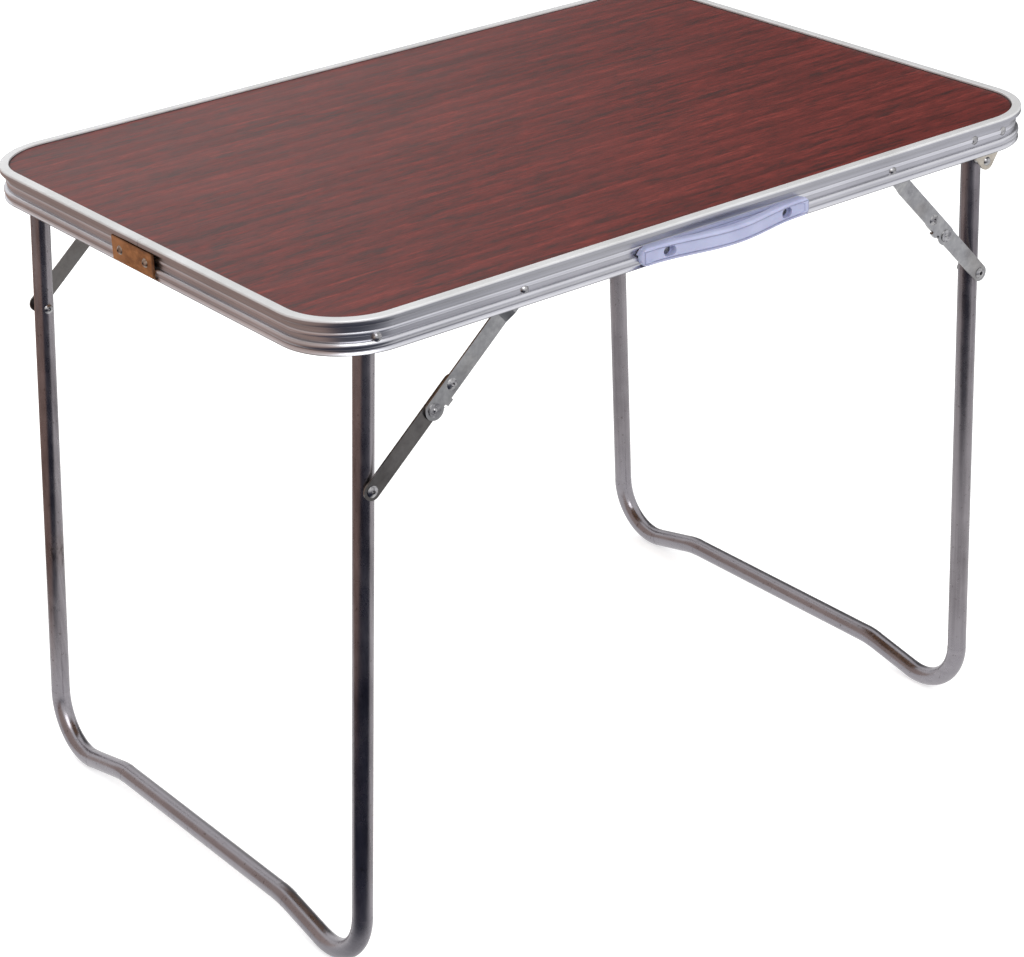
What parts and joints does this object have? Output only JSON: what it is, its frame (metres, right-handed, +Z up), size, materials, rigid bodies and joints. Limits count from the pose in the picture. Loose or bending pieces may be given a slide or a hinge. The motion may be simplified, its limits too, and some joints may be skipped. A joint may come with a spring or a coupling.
{
  "type": "folding camping table",
  "caption": "Low folding camping table: printed board in an aluminium rim, two fold-under tube leg frames held by two-link stays, carry handle on one long side.",
  "frame": {"origin": "floor level, under the centre of the object's bounding box", "axes": "+X along the table's length, towards the end with the ear brackets; -Y towards the side with the handle; +Z up"},
  "size_m": [0.703, 0.5142, 0.532],
  "materials": {
    "printed_wood_board": "dark red-brown wood print under a thin satin lacquer",
    "rim_aluminium": "bright anodised, extruded and bent",
    "joint_plate_copper": "copper-brown coated steel, lightly worn",
    "handle_plastic": "pale blue-grey moulded plastic, satin gloss",
    "bracket_nickel": "nickel-plated pressed steel",
    "leg_tube_steel": "bright plated tube with dark lengthwise streaks",
    "stay_zinc": "zinc-plated steel strip",
    "fastener_steel": "zinc-plated"
  },
  "bodies": {
    "tabletop": {"table_board": "printed_wood_board", "rim_frame": "rim_aluminium", "joint_plate": "joint_plate_copper", "joint_plate_rivets": "fastener_steel", "handle": "handle_plastic", "handle_screws": "fastener_steel", "handle_nuts": "fastener_steel", "front_ear_bracket": "bracket_nickel", "back_ear_bracket": "bracket_nickel", "ear_bracket_rivets": "fastener_steel", "left_pivot_bolts": "fastener_steel", "left_pivot_spacers": "fastener_steel", "left_pivot_nuts": "fastener_steel", "right_pivot_bolts": "fastener_steel", "right_pivot_spacers": "fastener_steel", "right_pivot_nuts": "fastener_steel", "stay_upper_rivets": "fastener_steel"},
    "left_frame": {"left_leg_frame": "leg_tube_steel", "left_stay_lower_rivets": "fastener_steel", "left_stay_washers": "fastener_steel"},
    "right_frame": {"right_leg_frame": "leg_tube_steel", "right_stay_lower_rivets": "fastener_steel", "right_stay_spacers": "fastener_steel"},
    "left_front_upper_link": {"left_front_upper_link": "stay_zinc", "left_front_knee_rivet": "fastener_steel", "left_front_catch_stud": "fastener_steel"},
    "left_front_lower_link": {"left_front_lower_link": "stay_zinc", "left_front_knee_rivet_tail": "fastener_steel"},
    "left_back_upper_link": {"left_back_upper_link": "stay_zinc", "left_back_knee_rivet": "fastener_steel", "left_back_catch_stud": "fastener_steel"},
    "left_back_lower_link": {"left_back_lower_link": "stay_zinc", "left_back_knee_rivet_tail": "fastener_steel"},
    "right_front_upper_link": {"right_front_upper_link": "stay_zinc", "right_front_knee_rivet": "fastener_steel", "right_front_catch_stud": "fastener_steel"},
    "right_front_lower_link": {"right_front_lower_link": "stay_zinc", "right_front_knee_rivet_tail": "fastener_steel"},
    "right_back_upper_link": {"right_back_upper_link": "stay_zinc", "right_back_knee_rivet": "fastener_steel", "right_back_catch_stud": "fastener_steel"},
    "right_back_lower_link": {"right_back_lower_link": "stay_zinc", "right_back_knee_rivet_tail": "fastener_steel"}
  },
  "joints": [
    {"name": "left_frame_fold", "type": "hinge", "parent": "tabletop", "child": "left_frame", "pos_m": [-0.30405, 0.0071, 0.516], "axis": [0, -1, 0], "range_deg": [0, 94.5]},
    {"name": "left_front_upper_link_turn", "type": "hinge", "parent": "tabletop", "child": "left_front_upper_link", "pos_m": [-0.17805, 0.0071, 0.516], "axis": [0, -1, 0], "range_deg": [0, 139.5]},
    {"name": "left_front_lower_link_turn", "type": "hinge", "parent": "left_frame", "child": "left_front_lower_link", "pos_m": [-0.31315, 0.0071, 0.40036], "axis": [0, 1, 0], "range_deg": [0, 135.1]},
    {"name": "left_back_upper_link_turn", "type": "hinge", "parent": "tabletop", "child": "left_back_upper_link", "pos_m": [-0.17805, 0.0071, 0.516], "axis": [0, -1, 0], "range_deg": [0, 139.5]},
    {"name": "left_back_lower_link_turn", "type": "hinge", "parent": "left_frame", "child": "left_back_lower_link", "pos_m": [-0.31315, 0.0071, 0.40036], "axis": [0, 1, 0], "range_deg": [0, 135.1]},
    {"name": "right_frame_fold", "type": "hinge", "parent": "tabletop", "child": "right_frame", "pos_m": [0.28495, 0.0071, 0.498], "axis": [0, 1, 0], "range_deg": [0, 90]},
    {"name": "right_front_upper_link_turn", "type": "hinge", "parent": "tabletop", "child": "right_front_upper_link", "pos_m": [0.17995, 0.0071, 0.516], "axis": [0, 1, 0], "range_deg": [0, 122.5]},
    {"name": "right_front_lower_link_turn", "type": "hinge", "parent": "right_frame", "child": "right_front_lower_link", "pos_m": [0.28495, 0.0071, 0.402], "axis": [0, -1, 0], "range_deg": [0, 133.9]},
    {"name": "right_back_upper_link_turn", "type": "hinge", "parent": "tabletop", "child": "right_back_upper_link", "pos_m": [0.17995, 0.0071, 0.516], "axis": [0, 1, 0], "range_deg": [0, 122.5]},
    {"name": "right_back_lower_link_turn", "type": "hinge", "parent": "right_frame", "child": "right_back_lower_link", "pos_m": [0.28495, 0.0071, 0.402], "axis": [0, -1, 0], "range_deg": [0, 133.9]}
  ],
  "couplings": [
    {"joint": "left_front_upper_link_turn", "follows": "left_frame_fold", "ratio": 1.4755},
    {"joint": "left_front_lower_link_turn", "follows": "left_frame_fold", "ratio": 1.4292},
    {"joint": "left_back_upper_link_turn", "follows": "left_frame_fold", "ratio": 1.4755},
    {"joint": "left_back_lower_link_turn", "follows": "left_frame_fold", "ratio": 1.4292},
    {"joint": "right_front_upper_link_turn", "follows": "right_frame_fold", "ratio": 1.3608},
    {"joint": "right_front_lower_link_turn", "follows": "right_frame_fold", "ratio": 1.4869},
    {"joint": "right_back_upper_link_turn", "follows": "right_frame_fold", "ratio": 1.3608},
    {"joint": "right_back_lower_link_turn", "follows": "right_frame_fold", "ratio": 1.4869}
  ]
}
